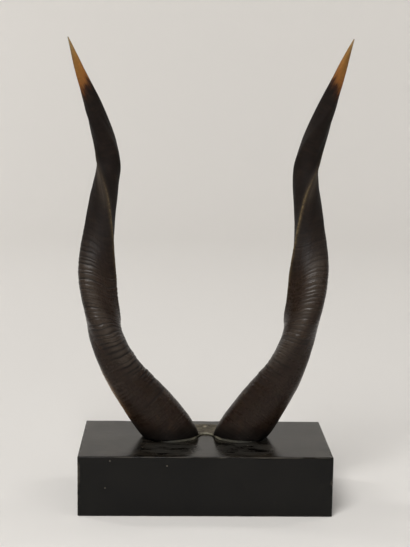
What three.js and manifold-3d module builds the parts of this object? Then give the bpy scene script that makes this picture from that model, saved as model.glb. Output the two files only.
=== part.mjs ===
// A pair of spiral antelope horns, still joined by a thin piece of the skull, on a lacquered wooden block.
// Millimetres, +Z up, the front of the pair towards -Y, the left horn towards -X.
// The origin is the middle of the face that the block stands on.

import * as THREE from 'three';
import Module from 'manifold-3d';
import { mergeVertices } from 'three/addons/utils/BufferGeometryUtils.js';

const wasm = await Module();
wasm.setup();

// ---- driving dimensions ----

const BLOCK_WIDTH = 330;
const BLOCK_DEPTH = 165;
const BLOCK_HEIGHT = 80;
const BLOCK_EDGE = 0.8; // the edges are barely broken
const BLOCK_OFFSET = -2.5; // the pair stands a little to the right of the block's middle

const GAP = 0.3; // between pieces that touch
const MERGE_DISTANCE = 0.0001; // points this close are one point
const PLATE_THICKNESS = 2.5;
const PLATE_Z = BLOCK_HEIGHT + GAP;
const HORN_BASE_Z = PLATE_Z + PLATE_THICKNESS + GAP;

// The horn's cross-section, on a unit scale and by angle from the front keel towards the inner side:
// a round body, a blunt keel in front, a sharp keel behind it and a faint edge on the outer side.
const SIDES = 20;
const SIDE = (2 * Math.PI) / SIDES;
const BODY = 0.8;
const FRONT_KEEL = { at: 0, height: 0.2, width: 0.6 };
const BACK_KEEL = { at: 7 * SIDE, height: 0.22, width: 0.3, blunt: 0.07 };
const OUTER_EDGE = { at: -6 * SIDE, height: 0.06, width: 0.5 };
const TIP_RADIUS = 0.7;

// Growth rings: ridges round the lower part of the horn, strongest near the base and on the front keel.
const RING_COUNT = 44;
const RINGED_SHARE = 0.66; // how far up the horn the rings reach, as a share of its stations
const RING_RELIEF = 1.3; // crest over groove at the base, on the front keel
const RING_FADE = 0.5; // how much of the relief is lost by the last ring
const RING_FLANK_RELIEF = 0.35; // the relief away from the front keel, as a share of the keel's
const SMOOTH_STEPS = 22; // rows of points along the smooth part, above the rings

// A ring isn't level: it climbs at the front keel, and on the outer side near the base, and it dips on the
// inner side above that. Climbs are shares of the horn's half width.
const CLIMB_FRONT = 0.1;
const CLIMB_OUTER = { at: -2.4, height: 0.45, width: 0.9 };
const DIP_INNER = { at: 1.7, height: 0.4, width: 0.8 };
const DIP_STARTS = 0.1; // shares of the stations, between which the outer climb gives way to the inner dip
const DIP_FULL = 0.35;

// Stations along each horn, from under its base to its tip: out from the middle, depth, height, half width,
// and the turn of the front keel in degrees (0 faces the front, 90 faces outwards).
const HORN_LEFT = [
  { out: 30, depth: 15, height: 45, half: 38.5, turn: -61 },
  { out: 50, depth: 13, height: 82, half: 40.8, turn: -64 },
  { out: 75.7, depth: 9, height: 120, half: 38.2, turn: -65 },
  { out: 108.3, depth: 3, height: 165, half: 31.6, turn: -63 },
  { out: 130.3, depth: -3, height: 210, half: 27.2, turn: -32 },
  { out: 143.1, depth: 0, height: 255, half: 25.4, turn: 30 },
  { out: 148.9, depth: 14, height: 306, half: 26.7, turn: 48 },
  { out: 143.1, depth: 34, height: 365, half: 22.1, turn: 85 },
  { out: 137.9, depth: 48, height: 418, half: 20.4, turn: 131 },
  { out: 135.3, depth: 50, height: 462, half: 17.5, turn: 203 },
  { out: 154.1, depth: 38, height: 520, half: 13.1, turn: 259 },
  { out: 171.7, depth: 22, height: 573, half: 6.7, turn: 325 },
  { out: 185, depth: 12, height: 611, half: TIP_RADIUS, turn: 375 },
];

const HORN_RIGHT = [
  { out: 30, depth: 15, height: 45, half: 39, turn: -61 },
  { out: 48.5, depth: 13, height: 82, half: 39.6, turn: -63 },
  { out: 72.2, depth: 9, height: 120, half: 37.3, turn: -66 },
  { out: 100.4, depth: 3, height: 165, half: 31, turn: -64 },
  { out: 117.4, depth: -3, height: 210, half: 26.5, turn: -30 },
  { out: 129.1, depth: 0, height: 255, half: 26.5, turn: 30 },
  { out: 135.3, depth: 14, height: 306, half: 27.6, turn: 49 },
  { out: 133.8, depth: 34, height: 365, half: 22.3, turn: 86 },
  { out: 131.4, depth: 48, height: 418, half: 21, turn: 136 },
  { out: 134.1, depth: 50, height: 462, half: 18.2, turn: 201 },
  { out: 155, depth: 38, height: 520, half: 13.8, turn: 258 },
  { out: 170.7, depth: 22, height: 573, half: 7.4, turn: 325 },
  { out: 185, depth: 12, height: 613, half: TIP_RADIUS, turn: 375 },
];

// ---- solids ----

function toManifold(geometry) {
  const bare = geometry.clone();
  bare.deleteAttribute('normal');
  bare.deleteAttribute('uv');
  const merged = mergeVertices(bare, MERGE_DISTANCE);
  return new wasm.Manifold(new wasm.Mesh({
    numProp: 3,
    vertProperties: new Float32Array(merged.attributes.position.array),
    triVerts: new Uint32Array(merged.index.array),
  }));
}

function fromManifold(solid) {
  const mesh = solid.getMesh();
  const geometry = new THREE.BufferGeometry();
  geometry.setAttribute('position', new THREE.BufferAttribute(mesh.vertProperties, 3));
  geometry.setIndex(new THREE.BufferAttribute(mesh.triVerts, 1));
  geometry.computeVertexNormals();
  return geometry;
}

// ---- the horns ----

// Where along the horn a row of points goes round it: a crest and a groove for each growth ring,
// then evenly spaced rows where the horn is smooth. relief is how far the row stands out or in.
function hornRows() {
  const steps = [];
  for (let ring = 0; ring < RING_COUNT; ring += 1) {
    const relief = (RING_RELIEF / 2) * (1 - RING_FADE * (ring / RING_COUNT));
    steps.push({ share: (RINGED_SHARE * ring) / RING_COUNT, relief });
    steps.push({ share: (RINGED_SHARE * (ring + 0.5)) / RING_COUNT, relief: -relief });
  }
  for (let step = 0; step <= SMOOTH_STEPS; step += 1) {
    const share = RINGED_SHARE + ((1 - RINGED_SHARE) * step) / SMOOTH_STEPS;
    steps.push({ share, relief: 0 });
  }
  return steps;
}

// The shortest way round from one angle to another.
function apart(angle, at) {
  return Math.atan2(Math.sin(angle - at), Math.cos(angle - at));
}

// A soft rise, and a sharp one with a narrow blunt top, each reaching its height at its own angle.
function mound(angle, { at, height, width }) {
  return height * Math.exp(-((apart(angle, at) / width) ** 2));
}

function ridge(angle, { at, height, width, blunt }) {
  return height * Math.exp((blunt - Math.hypot(apart(angle, at), blunt)) / width);
}

function sectionRadius(angle) {
  return BODY + mound(angle, FRONT_KEEL) + ridge(angle, BACK_KEEL) + mound(angle, OUTER_EDGE);
}

function ringClimb(angle, share) {
  const dipping = THREE.MathUtils.smoothstep(share, DIP_STARTS, DIP_FULL);
  const outer = (1 - dipping) * mound(angle, CLIMB_OUTER);
  return CLIMB_FRONT * Math.cos(angle) + outer - dipping * mound(angle, DIP_INNER);
}

function hornPoints(stations) {
  const middle = new THREE.CatmullRomCurve3(
    stations.map((s) => new THREE.Vector3(-s.out, s.depth, s.height)), false, 'catmullrom');
  const form = new THREE.CatmullRomCurve3(
    stations.map((s) => new THREE.Vector3(s.half, s.turn, 0)), false, 'catmullrom');

  return hornRows().map(({ share, relief }) => {
    const centre = middle.getPoint(share);
    const along = middle.getTangent(share);
    const { x: half, y: turn } = form.getPoint(share);
    const angle = THREE.MathUtils.degToRad(turn);
    const keel = new THREE.Vector3(-Math.sin(angle), -Math.cos(angle), 0);
    keel.addScaledVector(along, -keel.dot(along)).normalize();
    const flank = new THREE.Vector3().crossVectors(along, keel);

    return Array.from({ length: SIDES }, (_, side) => {
      const around = SIDE * side;
      const nearKeel = mound(around, { at: 0, height: 1, width: 1 });
      const raised = relief * THREE.MathUtils.lerp(RING_FLANK_RELIEF, 1, nearKeel);
      const radius = half * sectionRadius(around) + raised;
      return centre.clone()
        .addScaledVector(keel, radius * Math.cos(around))
        .addScaledVector(flank, radius * Math.sin(around))
        .addScaledVector(along, half * ringClimb(around, share));
    });
  });
}

// Skins the rings of points into one closed body, flat at the bottom and at the tip.
function skin(rings) {
  const positions = rings.flat().flatMap((p) => [p.x, p.y, p.z]);
  const faces = [];
  for (let ring = 0; ring < rings.length - 1; ring += 1) {
    for (let side = 0; side < SIDES; side += 1) {
      const next = (side + 1) % SIDES;
      const a = ring * SIDES + side;
      const b = ring * SIDES + next;
      const c = a + SIDES;
      const d = b + SIDES;
      faces.push(a, b, d, a, d, c);
    }
  }
  const top = (rings.length - 1) * SIDES;
  for (let side = 1; side < SIDES - 1; side += 1) {
    faces.push(0, side + 1, side);
    faces.push(top, top + side, top + side + 1);
  }
  const geometry = new THREE.BufferGeometry();
  geometry.setAttribute('position', new THREE.Float32BufferAttribute(positions, 3));
  geometry.setIndex(faces);
  return geometry;
}

// The horn is sawn off level, where it meets the skull plate.
function hornGeometry(stations, mirrored) {
  const saw = new THREE.BoxGeometry(BLOCK_WIDTH, BLOCK_DEPTH * 2, HORN_BASE_Z * 2);
  const solid = toManifold(skin(hornPoints(stations))).subtract(toManifold(saw));
  return fromManifold(mirrored ? solid.mirror([1, 0, 0]) : solid);
}

// ---- the piece of skull and the block ----

// Outline of the bone plate seen from above: a lobe under each horn, which just shows along the horn's
// front edge, and a narrower saddle between them.
const PLATE_HALF = [
  [0, 17], [5, 17, 9, 13, 12, 4], [15, -6, 22, -15, 34, -20], [42, -23, 52, -23.5, 60, -21],
  [74, -16, 80, -2, 79, 14], [78, 32, 66, 44, 52, 46], [34, 47, 22, 58, 0, 58],
];

function plateOutline() {
  const outline = new THREE.Shape();
  const [start, ...curves] = PLATE_HALF;
  outline.moveTo(...start);
  curves.forEach((curve) => outline.bezierCurveTo(...curve));
  // The way back is the same curves mirrored, each from its end to its start.
  curves.map(([x1, y1, x2, y2], index) => {
    const [x0, y0] = PLATE_HALF[index].slice(-2);
    return [-x2, y2, -x1, y1, -x0, y0];
  }).reverse().forEach((curve) => outline.bezierCurveTo(...curve));
  return outline;
}

function plateGeometry() {
  return new THREE.ExtrudeGeometry(plateOutline(), {
    depth: PLATE_THICKNESS,
    bevelEnabled: false,
    curveSegments: 6,
  });
}

function blockGeometry() {
  const halfWidth = BLOCK_WIDTH / 2 - BLOCK_EDGE;
  const halfDepth = BLOCK_DEPTH / 2 - BLOCK_EDGE;
  const outline = new THREE.Shape([
    new THREE.Vector2(-halfWidth, -halfDepth),
    new THREE.Vector2(halfWidth, -halfDepth),
    new THREE.Vector2(halfWidth, halfDepth),
    new THREE.Vector2(-halfWidth, halfDepth),
  ]);
  return new THREE.ExtrudeGeometry(outline, {
    depth: BLOCK_HEIGHT - 2 * BLOCK_EDGE,
    bevelThickness: BLOCK_EDGE,
    bevelSize: BLOCK_EDGE,
    bevelSegments: 1,
  }).translate(0, 0, BLOCK_EDGE);
}

// ---- the assembly ----

const finishes = {
  horn: { color: 0x2b231d, roughness: 0.45, metalness: 0 },
  bone: { color: 0x6e6148, roughness: 0.7, metalness: 0 },
  lacquer: { color: 0x1a1917, roughness: 0.3, metalness: 0 },
};

function piece(name, geometry, finish) {
  const mesh = new THREE.Mesh(geometry, new THREE.MeshStandardMaterial(finishes[finish]));
  mesh.name = name;
  return mesh;
}

const pair = new THREE.Group();

const block = piece('block', blockGeometry(), 'lacquer');
block.position.x = BLOCK_OFFSET;
pair.add(block);

const skullPlate = piece('skull_plate', plateGeometry(), 'bone');
skullPlate.position.z = PLATE_Z;
pair.add(skullPlate);

pair.add(piece('horn_left', hornGeometry(HORN_LEFT, false), 'horn'));
pair.add(piece('horn_right', hornGeometry(HORN_RIGHT, true), 'horn'));

export default pair;
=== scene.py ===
# %% [markdown]
# # A pair of antelope horns on a lacquered block
# Two spiral horns grow out of one piece of skull, which stands on a black lacquered block of wood.
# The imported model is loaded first: it gives the real size and place of each piece, in metres.
# Everything below is made round that frame, so nothing has to be fitted afterwards.

# %% Load the frame
import math
from types import SimpleNamespace

import bmesh
import bpy
import numpy as np
from mathutils import Matrix, Vector
from mathutils import noise as noise_field
from mathutils.geometry import interpolate_bezier


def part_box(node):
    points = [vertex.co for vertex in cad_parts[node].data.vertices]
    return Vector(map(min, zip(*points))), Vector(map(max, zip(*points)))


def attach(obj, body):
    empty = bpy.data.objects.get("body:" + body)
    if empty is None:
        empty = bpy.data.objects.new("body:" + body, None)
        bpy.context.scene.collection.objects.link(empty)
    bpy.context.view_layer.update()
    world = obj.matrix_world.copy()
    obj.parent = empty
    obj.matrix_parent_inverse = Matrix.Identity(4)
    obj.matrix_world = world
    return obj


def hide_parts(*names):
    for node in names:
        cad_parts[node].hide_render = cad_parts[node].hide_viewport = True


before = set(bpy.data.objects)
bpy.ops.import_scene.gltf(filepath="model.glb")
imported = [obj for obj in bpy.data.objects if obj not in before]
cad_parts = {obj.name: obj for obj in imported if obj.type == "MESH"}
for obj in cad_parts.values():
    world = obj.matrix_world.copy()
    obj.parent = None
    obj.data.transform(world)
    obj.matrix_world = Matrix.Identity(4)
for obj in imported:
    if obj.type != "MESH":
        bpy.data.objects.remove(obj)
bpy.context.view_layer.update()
MM = 0.001

# %% [markdown]
# ## Camera
# A camera is described here the way a photographer would: where it stands, how far it is turned and
# tipped, and how much it is rolled. The focal length is for a sensor whose long side is 36 mm.
# "Standard" shows the colours as they are; Blender's default look would wash out a black object.

# %% Camera
CAMERA_PLACE = Vector((-46.9, -1565.3, 562.1)) * MM
CAMERA_TURN = -1.55  # degrees about the upright axis
CAMERA_TIP = 9.3  # degrees below level
CAMERA_ROLL = 0.77
CAMERA_LENS, CAMERA_SENSOR = 78.98, 36.0  # mm

camera_data = bpy.data.cameras.new("camera")
camera_data.lens = CAMERA_LENS
camera_data.sensor_width = CAMERA_SENSOR
camera = bpy.data.objects.new("camera", camera_data)
camera.matrix_world = (
    Matrix.Translation(CAMERA_PLACE)
    @ Matrix.Rotation(math.radians(CAMERA_TURN), 4, "Z")
    @ Matrix.Rotation(math.radians(90 - CAMERA_TIP), 4, "X")
    @ Matrix.Rotation(math.radians(CAMERA_ROLL), 4, "Z")
)
bpy.context.scene.collection.objects.link(camera)
bpy.context.scene.camera = camera
bpy.context.scene.view_settings.view_transform = "Standard"
looks_along = camera.matrix_world.to_3x3() @ Vector((0, 0, -1))
print("camera looks along", [round(v, 3) for v in looks_along])

# %% [markdown]
# ## Small helpers
# A material is a tree of nodes. It could be wired by hand in the shader editor, but these helpers add
# a node, set its sockets and link it in one line, so that each material further down reads as a short
# list of what the finish is made of.

# %% Helpers for materials and meshes
def new_material(name):
    material = bpy.data.materials.new(name)
    material.use_nodes = True
    tree = material.node_tree
    return material, tree, tree.nodes["Principled BSDF"]


def plug(tree, socket, value):
    """Links a node's output to a socket, or sets the socket to a plain value."""
    if isinstance(value, bpy.types.NodeSocket):
        tree.links.new(value, socket)
    elif isinstance(value, tuple) and len(value) == 3 and len(socket.default_value) == 4:
        socket.default_value = (*value, 1)
    else:
        socket.default_value = value


def add_node(tree, kind, links=None, **settings):
    node = tree.nodes.new("ShaderNode" + kind)
    for name, value in settings.items():
        setattr(node, name, value)
    for socket, value in (links or {}).items():
        plug(tree, node.inputs[socket], value)
    return node


def ramp(tree, factor, *stops):
    """A colour ramp; each stop is (place, colour or grey), in rising order."""
    node = add_node(tree, "ValToRGB", {"Fac": factor})
    elements = node.color_ramp.elements
    elements[0].position, elements[1].position = stops[0][0], stops[-1][0]
    for place, _ in stops[1:-1]:
        elements.new(place)
    for element, (_, shade) in zip(elements, stops):
        element.color = (*shade, 1) if isinstance(shade, tuple) else (shade, shade, shade, 1)
    return node.outputs["Color"]


def mix(tree, factor, low, high):
    node = add_node(tree, "Mix", {0: factor}, data_type="RGBA")
    plug(tree, node.inputs[6], low)
    plug(tree, node.inputs[7], high)
    return node.outputs[2]


def maths(tree, operation, first, second):
    return add_node(tree, "Math", {0: first, 1: second}, operation=operation).outputs[0]


def noise(tree, place, scale, detail, rough):
    links = {"Vector": place, "Scale": scale, "Detail": detail, "Roughness": rough}
    return add_node(tree, "TexNoise", links).outputs["Fac"]


def stretched(tree, place, scale):
    return add_node(tree, "Mapping", {"Vector": place, "Scale": scale}).outputs["Vector"]


def attribute(tree, name, output="Fac"):
    return add_node(tree, "Attribute", attribute_name=name).outputs[output]


def mesh_object(name, source, material):
    """Turns a bmesh into a finished, smooth-shaded object at the origin, and says what it is made of."""
    open_edges = sum(edge.is_boundary for edge in source.edges)
    triangles = sum(len(face.verts) - 2 for face in source.faces)
    print(name, "triangles", triangles, "open edges", open_edges)
    mesh = bpy.data.meshes.new(name)
    source.to_mesh(mesh)
    source.free()
    mesh.polygons.foreach_set("use_smooth", [True] * len(mesh.polygons))
    piece = bpy.data.objects.new(name, mesh)
    piece.data.materials.append(material)
    bpy.context.scene.collection.objects.link(piece)
    return piece


# %% [markdown]
# ## The stations
# A spiral horn is one section carried along a curve, turning as it goes and shrinking to a point. It
# could be sculpted by hand, but a few stations along each horn say the same in a short list, and the
# plain solid is made from the same stations, so the fine horn and the plain one agree. Each horn has
# a list of its own, because the two horns of one animal never match exactly.

# %% Stations along each horn
# out from the middle, depth, height, half width (mm), turn of the front keel (degrees)
TIP_HALF = 0.65
HORN_LEFT = [
    (30, 15, 45, 38.5, -61),
    (50, 13, 82, 40.8, -64),
    (75.7, 9, 120, 38.2, -65),
    (108.3, 3, 165, 31.6, -63),
    (130.3, -3, 210, 27.2, -32),
    (143.1, 0, 255, 25.4, 30),
    (148.9, 14, 306, 26.7, 48),
    (143.1, 34, 365, 22.1, 85),
    (137.9, 48, 418, 20.4, 131),
    (135.3, 50, 462, 17.5, 203),
    (154.1, 38, 520, 13.1, 259),
    (171.7, 22, 573, 6.7, 325),
    (185, 12, 611, TIP_HALF, 375),
]
HORN_RIGHT = [
    (30, 15, 45, 39, -61),
    (48.5, 13, 82, 39.6, -63),
    (72.2, 9, 120, 37.3, -66),
    (100.4, 3, 165, 31, -64),
    (117.4, -3, 210, 26.5, -30),
    (129.1, 0, 255, 26.5, 30),
    (135.3, 14, 306, 27.6, 49),
    (133.8, 34, 365, 22.3, 86),
    (131.4, 48, 418, 21, 136),
    (134.1, 50, 462, 18.2, 201),
    (155, 38, 520, 13.8, 258),
    (170.7, 22, 573, 7.4, 325),
    (185, 12, 613, TIP_HALF, 375),
]
print("stations:", len(HORN_LEFT), "on the left horn,", len(HORN_RIGHT), "on the right")

# %% [markdown]
# ## The line down the middle
# Straight lines between the stations would leave a corner at each. A Catmull-Rom curve runs smoothly
# through every one of them instead. A curve object could do it too, but here the half width and the
# turn have to change as smoothly as the place, so all five numbers go through one formula.

# %% A smooth line through the stations
LINE_POINTS = 4000


def through_stations(stations, share):
    """Catmull-Rom through the stations; share runs from 0 at the first to 1 at the last."""
    points = np.array(stations, float)
    points = np.vstack([2 * points[0] - points[1], points, 2 * points[-1] - points[-2]])
    place = np.clip(share, 0, 1) * (len(stations) - 1)
    span = np.minimum(place.astype(int), len(stations) - 2)
    t = (place - span)[:, None]
    before, start, end, after = (points[span + k] for k in range(4))
    leave, arrive = (end - before) / 2, (after - start) / 2
    return (
        (2 * start - 2 * end + leave + arrive) * t**3
        + (3 * end - 3 * start - 2 * leave - arrive) * t**2
        + leave * t
        + start
    )


def horn_skeleton(stations):
    """A finely sampled centre line: distance along it, then centre, keel, flank and half width."""
    rows = through_stations(stations, np.linspace(0, 1, LINE_POINTS))
    centre = rows[:, :3] * (-1, 1, 1)
    steps = np.linalg.norm(np.diff(centre, axis=0), axis=1)
    distance = np.concatenate([[0], np.cumsum(steps)])
    tangent = np.gradient(centre, axis=0)
    tangent /= np.linalg.norm(tangent, axis=1, keepdims=True)
    turn = np.radians(rows[:, 4])
    keel = np.stack([-np.sin(turn), -np.cos(turn), 0 * turn], 1)
    keel -= (keel * tangent).sum(1, keepdims=True) * tangent
    keel /= np.linalg.norm(keel, axis=1, keepdims=True)
    flank = np.cross(tangent, keel)
    return distance, np.hstack([centre, keel, flank, rows[:, 3:4]])


for label, stations in (("left", HORN_LEFT), ("right", HORN_RIGHT)):
    length = horn_skeleton(stations)[0][-1]
    print(label, "horn, length along its middle from its first station, mm:", round(length))

# %% [markdown]
# ## The section
# Cut across, the horn is a rounded body with a blunt keel in front, a sharp keel behind it on the
# inner side and a faint edge on the outer side. It could be drawn as a curve, but a curve's points
# would have to be moved where an edge grows stronger further up. So the section is a sum: a body's
# radius, and a rise for each keel. Angles run from the front keel towards the inner side.

# %% Section
FRONT_KEEL = (0.0, 0.20, 0.60)  # angle, height, width, on a unit section
BACK_KEEL = (2 * math.pi * 7 / 20, 0.22)  # angle and height; its two sides fall away unevenly
BACK_KEEL_INNER, BACK_KEEL_OUTER, BACK_KEEL_BLUNT = 0.32, 0.22, 0.05
OUTER_EDGE = (-2 * math.pi * 6 / 20, 0.06, 0.50)
OUTER_EDGE_ABOVE = (0.08, 0.32)  # extra height and width of the outer edge in the upper third
OUTER_EDGE_GROWS = (0.66, 0.76)  # between these shares of the horn's length
BODY = 0.8


def between(value, start, end):
    """0 before start, 1 after end, smooth in between."""
    t = np.clip((value - start) / (end - start), 0, 1)
    return t * t * (3 - 2 * t)


def apart(angle, at):
    return np.arctan2(np.sin(angle - at), np.cos(angle - at))


def mound(angle, at, height, width):
    return height * np.exp(-((apart(angle, at) / width) ** 2))


def ridge(angle, at, height, width, blunt):
    return height * np.exp((blunt - np.hypot(apart(angle, at), blunt)) / width)


def section(around, share):
    past_keel = apart(around, BACK_KEEL[0]) > 0
    back_width = np.where(past_keel, BACK_KEEL_OUTER, BACK_KEEL_INNER)
    keels = mound(around, *FRONT_KEEL)
    keels += ridge(around, *BACK_KEEL, back_width, BACK_KEEL_BLUNT)
    upper = between(share, *OUTER_EDGE_GROWS) * mound(around, OUTER_EDGE[0], *OUTER_EDGE_ABOVE)
    return BODY + keels + mound(around, *OUTER_EDGE) + upper


keel_angles = np.array([FRONT_KEEL[0], BACK_KEEL[0], OUTER_EDGE[0]])
print("radius at the front keel, back keel and outer edge:", section(keel_angles, 0.5).round(2))

# %% [markdown]
# ## Growth rings
# Keratin is laid down in rings at the base, so the horn is wrinkled like a concertina, most of all
# where it bends. A bump map would fake this only face on, so the rings are real relief: ridges with
# uneven spacing and sharp grooves, pushed about by soft noise so that no ring is a perfect circle.
# All the noise is seeded, so the same horn grows each time.

# %% Ridges and noise, as heights
def ridges(place, spacing, spread, seed, sharpness):
    """Rounded ridges at uneven spacings: 0 in a groove, up to 1 on a crest."""
    random = np.random.default_rng(seed)
    count = int(np.ptp(place) / spacing * 1.5) + 20
    steps = spacing * (1 + spread * (random.random(count) * 2 - 1))
    grooves = place.min() - spacing + np.concatenate([[0], np.cumsum(steps)])
    heights = 0.4 + 0.6 * random.random(count)
    which = np.clip(np.searchsorted(grooves, place) - 1, 0, count - 1)
    across = (place - grooves[which]) / steps[which]
    return heights[which] * np.abs(np.sin(np.pi * across)) ** sharpness


def cloud(around, along, cells_around, cell_length, seed):
    """Soft random heights from -1 to 1 that join up round the horn."""
    random = np.random.default_rng(seed)
    table = random.random((int(np.ptp(along) / cell_length) + 4, cells_around)) * 2 - 1
    u = (around / (2 * np.pi) * cells_around) % cells_around
    v = (along - along.min()) / cell_length
    u0, v0 = u.astype(int) % cells_around, v.astype(int)
    fu, fv = u - np.floor(u), v - v0
    fu, fv = fu * fu * (3 - 2 * fu), fv * fv * (3 - 2 * fv)
    u1, v1 = (u0 + 1) % cells_around, v0 + 1
    low = table[v0, u0] * (1 - fu) + table[v0, u1] * fu
    high = table[v1, u0] * (1 - fu) + table[v1, u1] * fu
    return low * (1 - fv) + high * fv


test_strip = ridges(np.linspace(0, 100, 1000), 6.4, 0.5, 0, 0.55)
turning_points = np.diff(np.sign(np.diff(test_strip)))
print("grooves on a 100 mm strip, about 6.4 mm apart:", int((turning_points > 0).sum()))

# %% [markdown]
# ## How the rings run
# The rings aren't level. They climb at the front keel, climb again on the outer side near the base,
# and dip on the inner side above that, because the horn grows faster on one side than on the other.
# Tilting each ring by hand would take hours, so the mesh's own rows are slid up and down the horn by
# a smooth amount, and the rings go with them.

# %% Climb and dip of the rings
CLIMB_FRONT = 0.12  # climbs and dips are shares of the half width
CLIMB_OUTER = (-2.7, 0.90, 0.62)  # angle, height, width
DIP_INNER = (1.7, 0.40, 0.80)
DIP_SETS_IN = (0.10, 0.35)  # between these shares of the horn's length


def ring_climb(around, share):
    dipping = between(share, *DIP_SETS_IN)
    outer = (1 - dipping) * mound(around, *CLIMB_OUTER)
    return CLIMB_FRONT * np.cos(around) + outer - dipping * mound(around, *DIP_INNER)


outer_side = np.array([CLIMB_OUTER[0]])
print("climb on the outer side, at the base and half way up:",
      ring_climb(outer_side, 0.0).round(2), ring_climb(outer_side, 0.5).round(2))

# %% [markdown]
# ## Relief of the skin
# Run a thumb up a real horn and four sizes of relief can be felt: broad folds, the rings themselves,
# fine lines between them, and hard knobs on the front where the horn bends. Higher up all of it fades
# and the horn is smooth. Each size is a set of ridges of its own, and the same wandering noise pushes
# them all, so that they run together as they do in keratin.

# %% Relief of the horn's skin, in millimetres
# round the horn: angle and width in radians
WRINKLED_FRONT, WRINKLED_KEEL, SMOOTH_SIDE = (0.10, 0.80), (BACK_KEEL[0], 0.5), (-1.7, 0.70)
KNOBBLY_FRONT = (0.25, 0.55)
# along the horn: place and spread, or start and end, in shares of its length
WRINKLED_BEND, KNOBBLY_BEND = (0.34, 0.13), (0.235, 0.055)
SIDE_SMOOTHS, RINGS_FADE = (0.16, 0.22), (0.50, 0.64)
LINES_SETTLE, LINES_WEAKEN, LINES_FADE = (0.25, 0.34), (0.46, 0.60), (0.60, 0.72)
LINES_LOSE_COLOUR = (0.40, 0.55)
FOLD_SPACING, RING_SPACING, LINE_SPACING, KNOB_SPACING = 17.0, 6.4, 3.3, 5.8  # mm
KNOB_HEIGHT = 3.1  # mm, before the horn's own boldness


def patch(around, at, width):
    """1 at an angle round the horn, falling softly to 0 on both sides."""
    return mound(around, at, 1, width)


def stretch(share, at, spread):
    """1 at a place along the horn, falling softly to 0 below and above it."""
    return np.exp(-(((share - at) / spread) ** 2))


def wrinkle_strength(around, share):
    """How strong the wrinkles are: most in front and at the bend, none on the upper horn."""
    front, back = patch(around, *WRINKLED_FRONT), patch(around, *WRINKLED_KEEL)
    smooth_side = patch(around, *SMOOTH_SIDE) * between(share, *SIDE_SMOOTHS)
    strength = (0.30 + 0.70 * np.maximum(front, 0.45 * back)) * (1 - 0.7 * smooth_side)
    strength *= 0.55 + 0.60 * stretch(share, *WRINKLED_BEND)
    return strength * (1 - between(share, *RINGS_FADE))


def skin_relief(around, ring, share, seed):
    """Heights of the relief, and how deep in a groove or a fine line each point lies (0 to 1)."""
    strength = wrinkle_strength(around, share)
    knobs = patch(around, *KNOBBLY_FRONT) * stretch(share, *KNOBBLY_BEND)

    wander = 2.2 * cloud(around, ring, 7, 38, seed + 1) + 0.9 * cloud(around, ring, 17, 13, seed + 2)
    wander += 0.35 * cloud(around, ring, 41, 6, seed + 10)
    folds = ridges(ring + wander, FOLD_SPACING, 0.5, seed + 3, 0.8)
    rings = ridges(ring + 0.8 * wander, RING_SPACING, 0.5, seed + 4, 0.55)
    lines = ridges(ring + 1.3 * wander, LINE_SPACING, 0.7, seed + 5, 0.8)
    bumps = ridges(ring + 1.6 * wander, KNOB_SPACING, 0.55, seed + 11, 0.6)
    patchy = np.clip(0.62 + 0.75 * cloud(around, ring, 9, 26, seed + 6), 0.1, 1.3)
    fine = np.clip(0.7 + 0.9 * cloud(around, ring, 13, 16, seed + 12), 0.1, 1.5)

    relief = strength * (0.6 * folds + 1.45 * rings * patchy - 0.9)
    relief += KNOB_HEIGHT * knobs * (bumps * patchy - 0.35)
    line_height = 0.42 + 0.28 * (1 - between(share, *LINES_SETTLE))
    line_fade = 1 - 0.7 * between(share, *LINES_WEAKEN) - 0.3 * between(share, *LINES_FADE)
    relief += line_height * fine * (0.50 + 0.50 * strength) * lines * line_fade
    grain = 0.05 * cloud(around, ring, 90, 60, seed + 7) + 0.05 * cloud(around, ring, 61, 9, seed + 8)
    lumps = 0.40 * cloud(around, ring, 6, 55, seed + 9) + 0.22 * cloud(around, ring, 19, 14, seed + 13)

    deep = 1.15 - 0.35 * folds - 1.3 * rings
    groove = np.clip(deep, 0, 1) * np.clip(1.6 * (strength + knobs) * (0.4 + patchy), 0, 1)
    fine_line = 0.85 * np.clip(fine * patchy, 0, 1) * lines**2
    fine_line = fine_line * (1 - between(share, *LINES_LOSE_COLOUR))
    return relief + grain + lumps, groove, fine_line


in_front = wrinkle_strength(np.zeros(3), np.array([0.1, WRINKLED_BEND[0], 0.7]))
print("strength of the wrinkles in front, low, at the bend and above:", in_front.round(2))

# %% [markdown]
# ## Each horn's own numbers
# Both horns are built by the same steps, yet no two are alike. One is more deeply ringed, its back
# keel is less worn and carries less painted highlight, and its clear tip reaches further down. These
# are the numbers in which the two differ, so that a third horn would need only one more list.

# %% What is different on each horn
LEFT = SimpleNamespace(
    name="left_horn", node="horn_left", stations=HORN_LEFT, mirror=1,
    seed=11,
    boldness=1.0,  # how high its relief stands
    highlight_shift=-0.06,  # its painted highlight down the front is turned this far towards the inner side (radians)
    groove_shade_tone=0.78,  # how dark the painted shade in its grooves is
    keel_wear_and_highlight=0.6,  # how strong the worn line on its back keel is, with the painted highlight along it
    rim_tone=1.0,  # how strong the amber strip low on its outer side is
    tip_less=0.0)  # mm by which its clear tip is shorter
RIGHT = SimpleNamespace(
    name="right_horn", node="horn_right", stations=HORN_RIGHT, mirror=-1,
    seed=47, boldness=0.64, highlight_shift=0.20, groove_shade_tone=0.52,
    keel_wear_and_highlight=1.0, rim_tone=0.15, tip_less=4.0)
for horn in (LEFT, RIGHT):
    print(horn.name, "has relief at", horn.boldness, "of full height")

# %% [markdown]
# ## The feet
# Where a horn meets the skull it was sawn off together with the bone, and its front was trimmed back
# so that the pale sawn edge shows in front of it. A Boolean cut would leave a hard step. The foot is
# eased back instead, by an amount that fades within a few centimetres above the cut.

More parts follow.
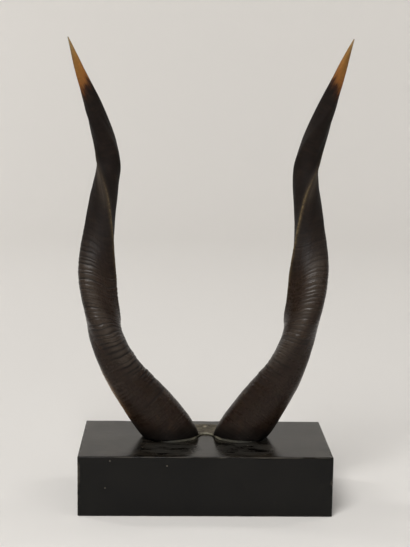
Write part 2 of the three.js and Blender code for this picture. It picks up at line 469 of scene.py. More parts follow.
# %% Shape the feet
HORN_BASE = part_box("horn_left")[0][2]
BASE_TUCK = (2.4, 7.0)  # the horn draws in at its very base: by how much, over what height (mm)
FOOT_CUT = (4.6, 16.0)  # and its front is trimmed back to the skull's sawn edge, likewise
FOOT_FLARE = 1.8  # beside that cut the foot spreads a little (mm)
FOOT_NOTCH = (6.0, 8.0)  # the corner by the arch is set back further, likewise
FOOT_CUT_AT, FOOT_FLARE_AT, FOOT_NOTCH_AT = (-0.30, 0.42), (-1.1, 0.4), (0.0, 0.20)  # angle, width
TUCK_SHARE, CUT_SHARE = (1, 0.1, 0), (0.35, 1, 0)  # how much of each goes sideways, back and up


def shape_foot(point, around, outwards):
    """Moves the points of the foot, and returns how far each one stood above the saw cut (mm)."""
    above_base = np.maximum(point[:, 2] - HORN_BASE / MM, 0)
    tuck = BASE_TUCK[0] * np.exp(-above_base / BASE_TUCK[1])
    point -= tuck[:, None] * outwards * TUCK_SHARE
    trim = FOOT_CUT[0] * patch(around, *FOOT_CUT_AT) - FOOT_FLARE * patch(around, *FOOT_FLARE_AT)
    point -= (trim * np.exp(-above_base / FOOT_CUT[1]))[:, None] * outwards * CUT_SHARE
    notch = FOOT_NOTCH[0] * patch(around, *FOOT_NOTCH_AT)
    point[:, 1] += notch * np.exp(-above_base / FOOT_NOTCH[1])
    return above_base


print("the horns are sawn off at a height of", round(HORN_BASE / MM, 1), "mm")

# %% [markdown]
# ## From a flat sheet to the horn's surface
# Each point of a flat grid has a place round the horn and a place along it. Here that pair becomes a
# point in space: the middle line and the section give the form, the relief is added to the radius,
# and the foot is shaped last. The relief dies away at the tip, which is too thin to carry it.

# %% Surface of one horn
TIP_SMOOTHS = (1, 15)  # mm of half width: none of the relief, and this much more for all of it
CENTRE, KEEL, FLANK, HALF = [0, 1, 2], [3, 4, 5], [6, 7, 8], [9]  # columns of the skeleton


def horn_surface(horn, around, share):
    """Places of the points (mm), and what the finish needs to know about each of them."""
    distance, table = horn_skeleton(horn.stations)
    length = distance[-1]
    ring = share * length

    def read(at, columns):
        return np.stack([np.interp(at, distance, table[:, c]) for c in columns], -1)

    at = np.clip(ring + read(ring, HALF)[:, 0] * ring_climb(around, share), 0, length)
    half = read(at, HALF)[:, 0]
    raised, groove, fine_line = skin_relief(around, ring, share, horn.seed)
    raised = horn.boldness * raised * np.clip((half - TIP_SMOOTHS[0]) / TIP_SMOOTHS[1], 0, 1)
    radius = half * section(around, share) + raised
    outwards = np.cos(around)[:, None] * read(at, KEEL) + np.sin(around)[:, None] * read(at, FLANK)
    point = read(at, CENTRE) + radius[:, None] * outwards
    above_base = shape_foot(point, around, outwards)
    return point, SimpleNamespace(
        ring=ring, half=half, groove=groove, fine_line=fine_line, outwards=outwards,
        above_base=above_base, from_tip=length - at)


strip_around, strip_share = np.zeros(5), np.linspace(0.2, 1, 5)
print("front keel of the left horn, heights in mm:",
      horn_surface(LEFT, strip_around, strip_share)[0][:, 2].round())

# %% [markdown]
# ## Marks for the finish
# Wear, painted light and shade, and the clear tip follow the form of the horn: the back keel is rubbed
# pale and carries a painted highlight, a painted highlight runs down the front, one flank is lightened
# with painted light, and painted shade darkens the hollow beside the keel and the foot. They could be
# painted by hand as vertex colours. As each is tied to an angle and a height, it is worked out instead
# and stored on the points as an attribute, which the material reads.

# %% Marks on the horn's points
# round the horn: angle and width in radians; along it: start and end in shares of its length
# the worn line on the back keel, which also carries a painted highlight
KEEL_LINE_SHAPE = (0.05, 0.02)  # width and bluntness
KEEL_LINE_STARTS, KEEL_LINE_DULLS = (0.36, 0.52), (0.62, 0.70)
AMBER_RIM, RIM_STARTS, RIM_ENDS = (-2.22, 0.27), (0.13, 0.17), (0.25, 0.31)
# a painted highlight down the front keel: its angle, width and turn, and where along the horn it lies
HIGHLIGHT_AT, HIGHLIGHT_WIDTH, HIGHLIGHT_TURN, HIGHLIGHT_TURNS = -0.12, 0.42, 0.55, (0.28, 0.40)
HIGHLIGHT_STARTS, HIGHLIGHT_ENDS = (0.21, 0.27), (0.46, 0.55)
TURN_STARTS, TURN_ENDS = (0.60, 0.70), (0.74, 0.80)  # where the back keel turns round to the front
# painted light on the flank before the back keel, and painted shade in the hollow past it
LIT_SIDE, SHADED_SIDE = (BACK_KEEL[0] - 0.30, 0.30), (BACK_KEEL[0] + 0.36, 0.26)
SHADED_FOOT = (2, 26)  # mm above the saw cut, over which the painted shade at the foot fades out
TIP_SLANT = 12.0  # mm: the clear tip reaches this much further down on the outer side


def within(share, starts, ends):
    return between(share, *starts) * (1 - between(share, *ends))


def horn_marks(horn, around, share, skin):
    # the worn line on the back keel, with a painted highlight along it
    worn_keel = ridge(around, BACK_KEEL[0], 1, *KEEL_LINE_SHAPE) * between(share, *KEEL_LINE_STARTS)
    worn_keel = worn_keel * (1 - 0.75 * between(share, *KEEL_LINE_DULLS))
    rim = patch(around, *AMBER_RIM)
    # a painted highlight down the front, turned with the horn
    highlight_angle = HIGHLIGHT_TURN * between(share, *HIGHLIGHT_TURNS) + HIGHLIGHT_AT + horn.highlight_shift
    front_highlight = patch(around, highlight_angle, HIGHLIGHT_WIDTH)
    turn = within(share, TURN_STARTS, TURN_ENDS)
    # painted shade at the foot, fading out above the saw cut
    foot = 1 - between(skin.above_base, *SHADED_FOOT)
    clear = skin.from_tip + TIP_SLANT * skin.outwards[:, 0]
    flat_place = [skin.half * np.cos(around), skin.half * np.sin(around), skin.ring]
    return {
        "on_horn": np.stack(flat_place, -1) * MM,
        "groove": skin.groove * horn.groove_shade_tone,
        "fine_line": skin.fine_line,
        "worn_keel": worn_keel * horn.keel_wear_and_highlight,
        "amber_rim": rim * within(share, RIM_STARTS, RIM_ENDS) * horn.rim_tone,
        "rubbed_front": front_highlight * within(share, HIGHLIGHT_STARTS, HIGHLIGHT_ENDS),
        "pale_side": turn * patch(around, *LIT_SIDE),
        "shade": np.maximum(turn * patch(around, *SHADED_SIDE), foot),
        "tip_place": clear * MM + horn.tip_less * MM,
    }


keel_turns = np.round(within(np.linspace(0.5, 0.9, 5), TURN_STARTS, TURN_ENDS), 2)
print("the back keel turns to the front, by share of the length from 0.5 to 0.9:", keel_turns)

# %% [markdown]
# ## Horn finish
# Horn is black-brown keratin with a soft shine. The grooves are dull and darkened with painted shade,
# worn edges show brown, and the last few centimetres are clear amber that runs into the black in
# streaks along the grain. An image would have to be unwrapped round a spiral, and would blur close up.
# Noise laid on the horn's own flat place, round and along, follows the spiral by itself and stays sharp.

# %% Colours of the horn
# the ground and its glazes
HORN_BLACK, HORN_BROWN = (0.0085, 0.0040, 0.0025), (0.0215, 0.0118, 0.0078)
HORN_RUST, MOTTLE_BROWN = (0.050, 0.026, 0.012), (0.0245, 0.0138, 0.0092)
BAND_OLIVE, CLOUD_OLIVE = (0.024, 0.0150, 0.0078), (0.018, 0.0118, 0.0062)
# wear, tone, painted highlights, painted light and painted shade
LINE_GREY, HIGHLIGHT_GREY, LIT_SIDE_GREY = (0.036, 0.0245, 0.0185), (0.052, 0.040, 0.031), (0.062, 0.048, 0.035)
RIM_AMBER, WORN_GOLD_AND_HIGHLIGHT = (0.29, 0.150, 0.060), (0.165, 0.118, 0.058)
GROOVE_SHADE_BLACK, SHADE_BLACK = (0.0018, 0.0012, 0.0010), (0.0020, 0.0015, 0.0012)
UPPER_BLACK = (0.0050, 0.0024, 0.0013)
AMBER = [  # share of the tip's depth, colour; from the very tip down
    (0.02, (0.27, 0.235, 0.15)), (0.09, (0.26, 0.165, 0.065)), (0.30, (0.25, 0.120, 0.028)),
    (0.45, (0.27, 0.115, 0.024)), (0.58, (0.22, 0.082, 0.018)), (0.70, (0.036, 0.010, 0.005))]
AMBER_BROWN = (0.12, 0.055, 0.016)
TIP_DEPTH = 0.10  # m
TIP_WOBBLE = 0.035  # m: how far the streaks carry the amber up and down
UPPER_HORN = (0.285, 0.345)  # m along the horn, where the wrinkled horn gives way to the smooth one
HORN_GLOSS = 0.17
GROOVE_ROUGH = 0.75
print("colours in the tip:", len(AMBER))

# %% [markdown]
# ## Horn material
# The colour is built up as a painter would: a dark ground, thin brown glazes broken up by noise, then
# the marks of wear with painted highlights, painted light and painted shade, and the clear tip over
# everything. The gloss changes with it, since a groove and the painted shade beside the keel and at the
# foot are rough.

# %% Horn material
def horn_ground(tree, place, streaks, bands, mottle):
    """Black-brown keratin, glazed in browns along the grain and in clouds."""
    patches = noise(tree, stretched(tree, place, (1, 1, 0.5)), 55, 4, 0.6)
    olive = noise(tree, place, 90, 3, 0.5)
    glazes = [
        (ramp(tree, mottle, (0.45, 0.0), (0.66, 0.9)), MOTTLE_BROWN),
        (ramp(tree, bands, (0.52, 0.0), (0.70, 0.6)), BAND_OLIVE),
        (ramp(tree, olive, (0.48, 0.0), (0.66, 0.5)), CLOUD_OLIVE),
        (ramp(tree, patches, (0.58, 0.0), (0.76, 0.6)), HORN_RUST),
    ]
    base = mix(tree, ramp(tree, streaks, (0.35, 0.0), (0.7, 0.8)), HORN_BLACK, HORN_BROWN)
    for amount, colour in glazes:
        base = mix(tree, amount, base, colour)
    return base


def broken(tree, mark, pattern, *stops):
    """A stored mark, broken up by a pattern."""
    return maths(tree, "MULTIPLY", mark, ramp(tree, pattern, *stops))


def horn_wear(tree, base, upper, streaks, bands, mottle):
    """The marks of wear, painted highlights, painted light and painted shade, from the first to the last
    laid over the ground.
    """
    front_highlight, rim = attribute(tree, "rubbed_front"), attribute(tree, "amber_rim")
    pale, worn = attribute(tree, "pale_side"), attribute(tree, "worn_keel")
    for amount, colour in (
        (attribute(tree, "fine_line"), LINE_GREY),
        # painted highlight down the front
        (broken(tree, front_highlight, bands, (0.35, 0.6), (0.6, 1.0)), HIGHLIGHT_GREY),
        (broken(tree, rim, streaks, (0.34, 0.15), (0.52, 1.0)), RIM_AMBER),
        # painted shade in the grooves
        (ramp(tree, attribute(tree, "groove"), (0.2, 0.0), (0.7, 0.95)), GROOVE_SHADE_BLACK),
        # painted shade beside the back keel and at the foot
        (maths(tree, "MULTIPLY", attribute(tree, "shade"), 0.8), SHADE_BLACK),
        (broken(tree, upper, bands, (0.42, 0.92), (0.62, 0.55)), UPPER_BLACK),
        # painted light on the flank before the back keel
        (broken(tree, pale, streaks, (0.35, 0.55), (0.6, 1.0)), LIT_SIDE_GREY),
        # the worn back keel, with a painted highlight along it
        (broken(tree, worn, mottle, (0.35, 0.1), (0.6, 1.0)), WORN_GOLD_AND_HIGHLIGHT),
    ):
        base = mix(tree, amount, base, colour)
    return base


def horn_tip(tree, base, place, mottle):
    """Clear amber over the last centimetres, drawn out along the grain."""
    grain = noise(tree, stretched(tree, place, (1, 1, 0.12)), 260, 3, 0.5)
    wobble = maths(tree, "MULTIPLY", maths(tree, "SUBTRACT", grain, 0.5), TIP_WOBBLE)
    depth = maths(tree, "ADD", attribute(tree, "tip_place"), wobble)
    depth = maths(tree, "DIVIDE", depth, TIP_DEPTH)
    amber = ramp(tree, depth, *AMBER)
    amber = mix(tree, ramp(tree, mottle, (0.35, 0.45), (0.6, 0.0)), amber, AMBER_BROWN)
    return mix(tree, ramp(tree, depth, (0.62, 1.0), (0.80, 0.0)), base, amber)


def horn_material(name):
    material, tree, shader = new_material(name)
    place = attribute(tree, "on_horn", "Vector")
    streaks = noise(tree, stretched(tree, place, (1, 1, 0.10)), 420, 5, 0.6)
    bands = noise(tree, stretched(tree, place, (0.25, 0.25, 1)), 170, 4, 0.65)
    mottle = noise(tree, place, 300, 6, 0.7)
    along = add_node(tree, "SeparateXYZ", {"Vector": place}).outputs["Z"]
    upper = ramp(tree, along, (UPPER_HORN[0], 0.0), (UPPER_HORN[1], 1.0))

    base = horn_ground(tree, place, streaks, bands, mottle)
    base = horn_wear(tree, base, upper, streaks, bands, mottle)
    plug(tree, shader.inputs["Base Color"], horn_tip(tree, base, place, mottle))

    rough = ramp(tree, mottle, (0.35, 0.20), (0.65, 0.32))
    rough = maths(tree, "ADD", rough, maths(tree, "MULTIPLY", upper, 0.42))
    dull = maths(tree, "MAXIMUM", attribute(tree, "groove"), attribute(tree, "shade"))
    plug(tree, shader.inputs["Roughness"], mix(tree, dull, rough, (GROOVE_ROUGH,) * 3))
    shader.inputs["Specular IOR Level"].default_value = HORN_GLOSS
    relief = maths(tree, "ADD", maths(tree, "MULTIPLY", streaks, 0.6), mottle)
    bump = add_node(tree, "Bump", {"Strength": 0.6, "Distance": 0.0003, "Height": relief})
    plug(tree, shader.inputs["Normal"], bump.outputs["Normal"])
    return material


horn_finish = horn_material("horn_keratin")
print("nodes in the horn's material:", len(horn_finish.node_tree.nodes))

# %% [markdown]
# ## Rolling a sheet into a horn
# The mesh starts as a flat grid. One side of the grid becomes the way round the horn and the other
# the way along it, so its UV map already follows the surface. Each point is moved to its place, the
# seam is welded, the base is sawn off level, and both ends are closed. The grid's rows follow the
# rings, so the relief stays crisp with fewer faces than a voxel remesh would need.

# %% Build the horns
AROUND, ALONG = 140, 630  # faces round the horn and along it
SHEET_START = 0.03  # the sheet begins a little below the saw cut
FINE_SHARE, FINE_ROWS = 0.64, 0.83  # this much of the rows goes to the wrinkled part
WELD = 0.01 * MM


def horn_sheet(horn):
    """A flat grid with its points moved to the horn's surface and its marks stored on them."""
    sheet = bmesh.new()
    sheet.loops.layers.uv.new("along_horn")
    bmesh.ops.create_grid(sheet, x_segments=AROUND, y_segments=ALONG, size=0.5, calc_uvs=True)
    mesh = bpy.data.meshes.new(horn.name + "_sheet")
    sheet.to_mesh(mesh)
    sheet.free()
    flat = np.empty(len(mesh.vertices) * 3)
    mesh.vertices.foreach_get("co", flat)
    flat = flat.reshape(-1, 3) + 0.5

    around = 2 * np.pi * flat[:, 0]
    share = np.interp(flat[:, 1], [0, FINE_ROWS, 1], [SHEET_START, FINE_SHARE, 1])
    point, skin = horn_surface(horn, around, share)
    mesh.vertices.foreach_set("co", (point * (horn.mirror, 1, 1) * MM).ravel())
    for label, values in horn_marks(horn, around, share, skin).items():
        is_vector = values.ndim == 2
        layer = mesh.attributes.new(label, "FLOAT_VECTOR" if is_vector else "FLOAT", "POINT")
        layer.data.foreach_set("vector" if is_vector else "value", values.ravel())
    return mesh


def make_horn(horn, material):
    mesh = horn_sheet(horn)
    rolled = bmesh.new()
    rolled.from_mesh(mesh)
    bpy.data.meshes.remove(mesh)
    bmesh.ops.remove_doubles(rolled, verts=rolled.verts, dist=WELD)
    bmesh.ops.bisect_plane(
        rolled, geom=rolled.verts[:] + rolled.edges[:] + rolled.faces[:], dist=1e-6,
        plane_co=(0, 0, HORN_BASE), plane_no=(0, 0, 1), clear_inner=True)
    bmesh.ops.holes_fill(rolled, edges=[e for e in rolled.edges if e.is_boundary], sides=0)
    bmesh.ops.triangulate(rolled, faces=[f for f in rolled.faces if len(f.verts) > 4])
    bmesh.ops.recalc_face_normals(rolled, faces=rolled.faces)
    print(horn.name, "volume, ml", round(rolled.calc_volume() * 1e6, 1))
    piece = mesh_object(horn.name, rolled, material)
    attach(piece, "root")
    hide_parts(horn.node)


make_horn(LEFT, horn_finish)
make_horn(RIGHT, horn_finish)

# %% [markdown]
# ## Lacquer
# Black lacquer on wood shows wear in three ways: a thin paler line along the rubbed edges, a few pale
# specks where it is chipped, and smears on the top where it was handled or wiped. A smear is duller
# than the lacquer round it, and a little paler. The ground itself isn't one black but cloudy, most of
# all on the top, and towards the bottom it is paler with painted light from the floor. Soft balls of
# colour, each centred on its place, put the specks and smears where they belong without an image.

# %% Lacquer
BLOCK_HEIGHT = 80 * MM
SPECKS = [  # where the lacquer is chipped through, mm
    (-125.5, -82.5, 74.3), (-52.3, -82.5, 68), (-131.9, -82.5, 38.1),
    (54.1, -31.9, 80), (-84.9, -43, 80)]
SPECK_REACH = (0.8, 0.8, 0.8)
SMEARS = [  # middle and reach of each, mm
    ((-48, -47, 80), (44, 34, 4)),
    ((50, -45, 80), (42, 36, 4))]
LACQUER_DEEP, LACQUER_THIN = (0.0003, 0.0003, 0.0002), (0.0052, 0.0047, 0.0038)
# painted light from the pale floor, paler towards the bottom of the block
FLOOR_GLOW_GREY = (0.0056, 0.0053, 0.0046)
TOP_DEEP, TOP_CLOUD = (0.0006, 0.0005, 0.0004), (0.0260, 0.0210, 0.0150)
SMEAR_GREY, DUST_GREY = (0.018, 0.0165, 0.0135), (0.03, 0.028, 0.024)
EDGE_BROWN, CHIP_CREAM = (0.055, 0.048, 0.038), (0.19, 0.17, 0.14)
SMEAR_ROUGH, EDGE_ROUGH = 0.55, 0.6
LACQUER_GLOSS = 0.20


def near(tree, place, centre, reach, edge):
    """1 inside an ellipsoid, 0 outside, with a soft or hard edge."""
    offset = [-c / r for c, r in zip(centre, reach)]
    scale = [1 / (r * MM) for r in reach]
    moved = add_node(tree, "Mapping", {"Vector": place, "Location": offset, "Scale": scale})
    far = add_node(tree, "VectorMath", {0: moved.outputs["Vector"]}, operation="LENGTH")
    return ramp(tree, far.outputs["Value"], (1 - edge, 1.0), (1.0, 0.0))


def smeared(tree, place, smear):
    """Where the top was wiped: inside either smear, in streaks."""
    touched = 0.0
    for centre, reach in SMEARS:
        touched = maths(tree, "MAXIMUM", touched, near(tree, place, centre, reach, 0.5))
    return broken(tree, touched, smear, (0.40, 0.0), (0.52, 1.0))


def lacquer_material(name):
    material, tree, shader = new_material(name)
    place = add_node(tree, "TexCoord").outputs["Object"]
    height = add_node(tree, "SeparateXYZ", {"Vector": place}).outputs["Z"]
    height = maths(tree, "DIVIDE", height, BLOCK_HEIGHT)
    clouds = noise(tree, place, 14, 4, 0.6)
    dust = noise(tree, place, 900, 3, 0.7)
    smear = noise(tree, stretched(tree, place, (0.6, 1.6, 1)), 60, 5, 0.65)
    touched = smeared(tree, place, smear)
    worn = ramp(tree, attribute(tree, "worn"), (0.45, 0.0), (0.95, 0.9))
    # painted light from the floor: paler towards the bottom
    floor_glow = maths(tree, "MULTIPLY", ramp(tree, height, (0.0, 1.0), (0.8, 0.0)), 0.5)
    on_top = ramp(tree, height, (0.985, 0.0), (0.992, 1.0))
    cloudy_top = ramp(tree, smear, (0.38, TOP_DEEP), (0.68, TOP_CLOUD))
    layers = [
        (floor_glow, FLOOR_GLOW_GREY),
        (on_top, cloudy_top),
        (touched, SMEAR_GREY),
        (ramp(tree, dust, (0.62, 0.0), (0.80, 0.35)), DUST_GREY),
        (worn, EDGE_BROWN),
    ]
    layers += [(near(tree, place, centre, SPECK_REACH, 0.4), CHIP_CREAM) for centre in SPECKS]
    black = ramp(tree, clouds, (0.30, LACQUER_DEEP), (0.70, LACQUER_THIN))
    for amount, colour in layers:
        black = mix(tree, amount, black, colour)
    plug(tree, shader.inputs["Base Color"], black)

    rough = ramp(tree, clouds, (0.3, 0.17), (0.7, 0.27))
    rough = mix(tree, touched, rough, (SMEAR_ROUGH,) * 3)
    plug(tree, shader.inputs["Roughness"], mix(tree, worn, rough, (EDGE_ROUGH,) * 3))
    shader.inputs["Specular IOR Level"].default_value = LACQUER_GLOSS
    return material


lacquer = lacquer_material("black_lacquer")
print("nodes in the lacquer:", len(lacquer.node_tree.nodes))

# %% [markdown]
# ## Block
# The stand is a block of wood with nearly sharp edges that years of handling have rubbed. A plain
# bevelled cube would look new. So a cube is scaled to size and cut up into a grid, its twelve edges
# are bevelled, and the points on them are then pushed in by a few tenths of a millimetre, unevenly.
# The same noise is stored as wear, so that the paler line sits where the edge is really rubbed.

# %% Block mesh
EDGE_BEVEL = 1.3 * MM
BLOCK_CUTS = 47  # each face becomes a grid of 48 by 48; its smallest cell has to be wider than the bevel
EDGE_ZONE = 1.1 * EDGE_BEVEL
RUB_DEPTH, CHIP_DEPTH, CHIP_FROM = 0.14, 1.6, 0.38  # mm, mm, and the noise above which a chip starts
CHIP_SHIFT = Vector((9, 4, 7))  # moves the chips' noise away from the rub's


def rub_edges(block, low, high):
    worn = block.verts.layers.float.new("worn")
    for vert in block.verts:
        inside = sorted(min(vert.co[k] - low[k], high[k] - vert.co[k]) for k in range(3))
        if inside[1] < EDGE_ZONE:
            rub = noise_field.noise(vert.co * 55) + 0.6 * noise_field.noise(vert.co * 210)
            chip = max(0.0, noise_field.noise(vert.co * 140 + CHIP_SHIFT) - CHIP_FROM)
            vert.co -= vert.normal * (RUB_DEPTH * max(0.0, 0.4 + rub) + CHIP_DEPTH * chip) * MM
            vert[worn] = min(1.0, 0.55 + 0.6 * rub + 3 * chip)


def make_block(material):
    low, high = (Vector(corner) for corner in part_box("block"))
    block = bmesh.new()
    bmesh.ops.create_cube(block, size=1.0)
    bmesh.ops.scale(block, vec=high - low, verts=block.verts)
    bmesh.ops.translate(block, vec=(low + high) / 2, verts=block.verts)
    bmesh.ops.subdivide_edges(block, edges=block.edges[:], cuts=BLOCK_CUTS, use_grid_fill=True)
    corners = [edge for edge in block.edges if edge.calc_face_angle(0) > 1]
    bmesh.ops.bevel(
        block, geom=corners, offset=EDGE_BEVEL, offset_type="OFFSET", segments=3, profile=0.5,
        affect="EDGES", material=-1)
    block.normal_update()
    rub_edges(block, low, high)
    piece = mesh_object("lacquered_block", block, material)
    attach(piece, "root")
    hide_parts("block")


make_block(lacquer)

# %% [markdown]
# ## Bone
# Old bone is stained brown on top, cream where it was sawn, and dark with dirt and painted shade where
# the horns stand on it. Two small places behind the arch differ: a bare pale spot and a dark pit. The
# sawn edge and the dirt with its painted shade are stored on the plate's points; the stains and the
# pores are noise, with the pores as a bump, since they are far smaller than any face.

# %% Bone
BONE_STAIN, BONE_BROWN = (0.028, 0.021, 0.013), (0.125, 0.105, 0.068)
SAWN_DARK, SAWN_CREAM = (0.09, 0.082, 0.058), (0.26, 0.24, 0.175)
# middle and reach (mm), softness of the edge, colour
PALE_SPOT = ((-0.6, 42.9, 83), (3.2, 5.0, 3.0), 0.8, (0.30, 0.26, 0.19))
DARK_PIT = ((5.3, 50, 83), (3.0, 6.0, 3.0), 0.7, (0.015, 0.011, 0.007))
# dirt with painted shade where the horns stand, and the pores
GRIME_AND_SHADE_BLACK, PORE_BROWN = (0.024, 0.023, 0.017), (0.03, 0.02, 0.012)
BONE_ROUGH, BONE_GLOSS = 0.7, 0.3


def bone_material(name):
    material, tree, shader = new_material(name)
    place = add_node(tree, "TexCoord").outputs["Object"]
    stains = noise(tree, place, 120, 5, 0.65)
    pores = noise(tree, place, 1500, 3, 0.6)
    top = mix(tree, ramp(tree, stains, (0.35, 0.0), (0.65, 1.0)), BONE_STAIN, BONE_BROWN)
    for centre, reach, edge, colour in (PALE_SPOT, DARK_PIT):
        top = mix(tree, near(tree, place, centre, reach, edge), top, colour)
    sawn = mix(tree, ramp(tree, stains, (0.35, 0.0), (0.6, 1.0)), SAWN_DARK, SAWN_CREAM)
    bone = mix(tree, attribute(tree, "sawn"), top, sawn)
    # dirt and painted shade where the horns stand
    bone = mix(tree, attribute(tree, "grime"), bone, GRIME_AND_SHADE_BLACK)
    bone = mix(tree, ramp(tree, pores, (0.55, 0.0), (0.75, 0.5)), bone, PORE_BROWN)
    plug(tree, shader.inputs["Base Color"], bone)
    shader.inputs["Roughness"].default_value = BONE_ROUGH
    shader.inputs["Specular IOR Level"].default_value = BONE_GLOSS
    bump = add_node(tree, "Bump", {"Strength": 0.6, "Distance": 0.0002, "Height": pores})
    plug(tree, shader.inputs["Normal"], bump.outputs["Normal"])
    return material


bone_finish = bone_material("skull_bone")
print("nodes in the bone:", len(bone_finish.node_tree.nodes))

# %% [markdown]
# ## Outline of the skull plate
# The two horns were sawn off together with a thin slice of the forehead. Its front edge is cut in an
# arch between the horns. A Bezier curve needs only a few handles for such a line, and each handle can
# be moved without disturbing the rest. Half the outline is drawn, and the other half mirrors it.

# %% Outline of the plate
PLATE_MIDDLE = np.array([0.0, 35.0])
PLATE_CURVES = [  # one side of the outline as Bezier curves, mm, from the front arch to the back
    ((0, 18), (6, 18), (9.5, 13), (12, 4)),
    ((12, 4), (14, -2), (17, -9.5), (23, -12.5)),
    ((23, -12.5), (31, -16.5), (36, -21.5), (45, -22)),
    ((45, -22), (64, -23), (78, -6), (77, 14)),
    ((77, 14), (76, 32), (64, 44), (50, 46)),
    ((50, 46), (34, 47), (22, 58), (0, 58)),
]
CURVE_POINTS = 17


def plate_outline():
    side = []
    for curve in PLATE_CURVES:
        handles = [Vector((*point, 0)) for point in curve]
        side += [tuple(p[:2]) for p in interpolate_bezier(*handles, CURVE_POINTS)][:-1]
    half = np.array(side + [PLATE_CURVES[-1][-1]], float)
    return np.vstack([half, half[-2:0:-1] * (-1, 1)])


print("points on the plate's outline:", len(plate_outline()))

# %% [markdown]
# ## Skull plate
# The plate could be the outline, extruded, but its top would then be one flat face with nothing to
# push about. It is made like a pastry lid instead: a flat sheet is rolled round a middle point, its
# rim follows the sawn outline, then it folds down the edge and back underneath. A low ridge runs down
# the middle of the forehead, and the sawn edge leans back a little.

# %% Skull plate
EDGE_SLOPE = 1.3  # mm: the saw cut leans back by this much
PLATE_ROWS = 44
EDGE_ROWS = (0.04, 0.15, 0.5, 0.85, 0.97)  # shares of the way down the edge
UNDERSIDE_INSET = 0.4  # mm
RIM_WANDER, TOP_WANDER, TOP_SINK = 0.5, 0.18, 0.12  # mm
MIDDLE_RIDGE = (0.9, 3.6)  # height and width, mm
SAWN_FROM = (0.985, 1.0)  # shares of the way to the rim
GRIME_AND_SHADE_LAYERS = [(0.84, 15, 23), (0.16, 30, 52)]  # how much dirt and painted shade, between these distances from the middle (mm)


def plate_rows(tall):
    """Each row: share of the way from the middle to the rim, drop below the top, inset (mm)."""
    rows = [(k / PLATE_ROWS, 0.0, EDGE_SLOPE) for k in range(PLATE_ROWS + 1)]
    rows += [(1.0, share * tall, EDGE_SLOPE * (1 - share)) for share in EDGE_ROWS]
    rows += [(1.0, tall, 0.0)]
    return rows + [(reach, tall, UNDERSIDE_INSET) for reach in (1.0, 0.6, 0.0)]


def bend_plate(plate, high, tall):
    """Moves each point of the flat sheet to its place, and stores where it is sawn, and where it is
    dirty and darkened with painted shade.
    """
    outline, rows = plate_outline(), plate_rows(tall)
    count = len(outline)
    sawn = plate.verts.layers.float.new("sawn")
    grime = plate.verts.layers.float.new("grime")
    for vert in plate.verts:
        spoke = outline[round((vert.co.x + 0.5) * count) % count] - PLATE_MIDDLE
        reach, drop, inset = rows[round((vert.co.y + 0.5) * (len(rows) - 1))]
        x, y = PLATE_MIDDLE + spoke * reach * (1 - inset / np.linalg.norm(spoke))
        spot = Vector((x, y, 0))
        at_rim = between(reach, 0.9, 1.0)
        x, y = (x, y) + spoke / 60 * at_rim * RIM_WANDER * noise_field.noise(spot * 0.45)
        raised = TOP_WANDER * noise_field.fractal(spot * 0.25, 1.0, 2.0, 4) - TOP_SINK
        raised += MIDDLE_RIDGE[0] * math.exp(-((x / MIDDLE_RIDGE[1]) ** 2)) * (1 - 0.6 * at_rim)
        vert.co = Vector((x, y, high - drop + raised * (1 - drop / tall))) * MM
        vert[sawn] = float(between(reach, *SAWN_FROM) * between(drop, -0.02, 0.04))
        # dirt and painted shade, darker further out from the middle
        vert[grime] = float(sum(much * between(abs(x), *span) for much, *span in GRIME_AND_SHADE_LAYERS))


def make_plate(material):
    low, high = (corner[2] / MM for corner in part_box("skull_plate"))
    tall = high - low
    plate = bmesh.new()
    bmesh.ops.create_grid(
        plate, x_segments=len(plate_outline()), y_segments=len(plate_rows(tall)) - 1, size=0.5)
    bend_plate(plate, high, tall)
    bmesh.ops.remove_doubles(plate, verts=plate.verts, dist=WELD)
    bmesh.ops.recalc_face_normals(plate, faces=plate.faces)
    piece = mesh_object("skull_plate_bone", plate, material)
    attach(piece, "root")
    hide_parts("skull_plate")


make_plate(bone_finish)

# %% [markdown]
# ## Studio
# The horns stand on pale paper that sweeps up behind them, so that no line shows where floor and wall
# meet. A photographer hangs one roll of paper. Here its profile is spun all the way round into a
# bowl, so that it works from any side.

# %% Studio bowl
FLOOR_RADIUS, BOWL_RADIUS, BOWL_HEIGHT = 2.6, 4.2, 3.2  # m
FLOOR_RINGS, CURVE_STEPS, SPIN_STEPS = 4, 10, 64
HUB_RADIUS = 0.001  # m: the profile starts beside the axis, and its first ring is welded into one point
PAPER, PAPER_ROUGH, PAPER_GLOSS = (0.80, 0.775, 0.74), 0.9, 0.1


def bowl_profile():
    sweep = BOWL_RADIUS - FLOOR_RADIUS
    profile = [(HUB_RADIUS, 0)]
    profile += [(FLOOR_RADIUS * k / FLOOR_RINGS, 0) for k in range(1, FLOOR_RINGS + 1)]
    for k in range(1, CURVE_STEPS + 1):
        angle = math.pi / 2 * k / CURVE_STEPS
        profile.append((FLOOR_RADIUS + sweep * math.sin(angle), sweep * (1 - math.cos(angle))))
    return profile + [(BOWL_RADIUS, BOWL_HEIGHT)]


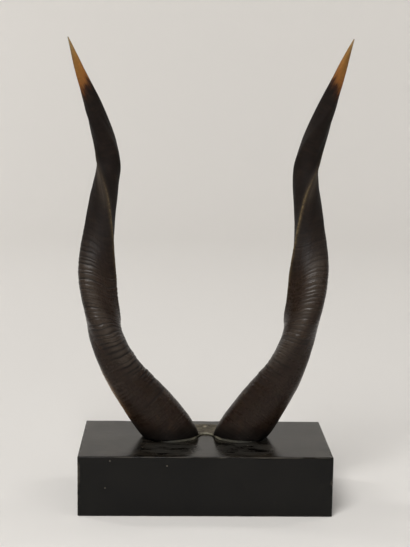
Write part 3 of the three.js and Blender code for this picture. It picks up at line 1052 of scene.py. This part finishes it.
bowl = bmesh.new()
ring_points = [bowl.verts.new((r, 0, z)) for r, z in bowl_profile()]
ring_edges = [bowl.edges.new(pair) for pair in zip(ring_points, ring_points[1:])]
bmesh.ops.spin(
    bowl, geom=ring_points + ring_edges, cent=(0, 0, 0), axis=(0, 0, 1),
    angle=2 * math.pi, steps=SPIN_STEPS, use_merge=True)
bmesh.ops.remove_doubles(bowl, verts=bowl.verts, dist=2 * HUB_RADIUS)
paper, _, paper_shader = new_material("studio_paper")
paper_shader.inputs["Base Color"].default_value = (*PAPER, 1)
paper_shader.inputs["Roughness"].default_value = PAPER_ROUGH
paper_shader.inputs["Specular IOR Level"].default_value = PAPER_GLOSS
bowl_piece = mesh_object("studio_bowl", bowl, paper)

# %% [markdown]
# ## Lights
# A dark, glossy thing is seen by what it mirrors. One broad lamp above and in front, a little to the
# left, lights the faces and draws a soft line down each horn. A large weak one at the right keeps the
# shadow from going black. Two more light only the paper behind, more on the left than on the right,
# and its reflection gives the top of the block its grey sheen. Point lamps would leave hard spots.

# %% Lights
LAMPS = [  # name, place and aim (m), width (m), power (W)
    ("key", (-0.50, -1.5, 2.2), (0, 0, 0.3), 1.3, 52),
    ("fill", (1.5, -1.2, 1.9), (0, 0, 0.3), 2.2, 7),
    ("backdrop_left", (-2.2, 1.0, 2.4), (-0.5, 4.2, 1.2), 1.2, 49),
    ("backdrop_right", (2.2, 1.0, 2.2), (0.8, 4.2, 0.1), 1.2, 23),
]
AIR_COLOUR, AIR_STRENGTH = (1, 0.985, 0.96), 0.10  # faint light from all round


def softbox(name, place, aim, size, power):
    data = bpy.data.lights.new(name, "AREA")
    data.shape = "DISK"
    data.size = size
    data.energy = power
    lamp = bpy.data.objects.new(name, data)
    direction = Vector(aim) - Vector(place)
    turn = direction.to_track_quat("-Z", "Y").to_matrix().to_4x4()
    lamp.matrix_world = Matrix.Translation(place) @ turn
    lamp.visible_camera = False
    bpy.context.scene.collection.objects.link(lamp)


for lamp_settings in LAMPS:
    softbox(*lamp_settings)
world = bpy.data.worlds.new("studio_air")
world.use_nodes = True
world.node_tree.nodes["Background"].inputs["Color"].default_value = (*AIR_COLOUR, 1)
world.node_tree.nodes["Background"].inputs["Strength"].default_value = AIR_STRENGTH
bpy.context.scene.world = world
print("lamps:", [name for name, *_ in LAMPS], "watts:", [power for *_, power in LAMPS])
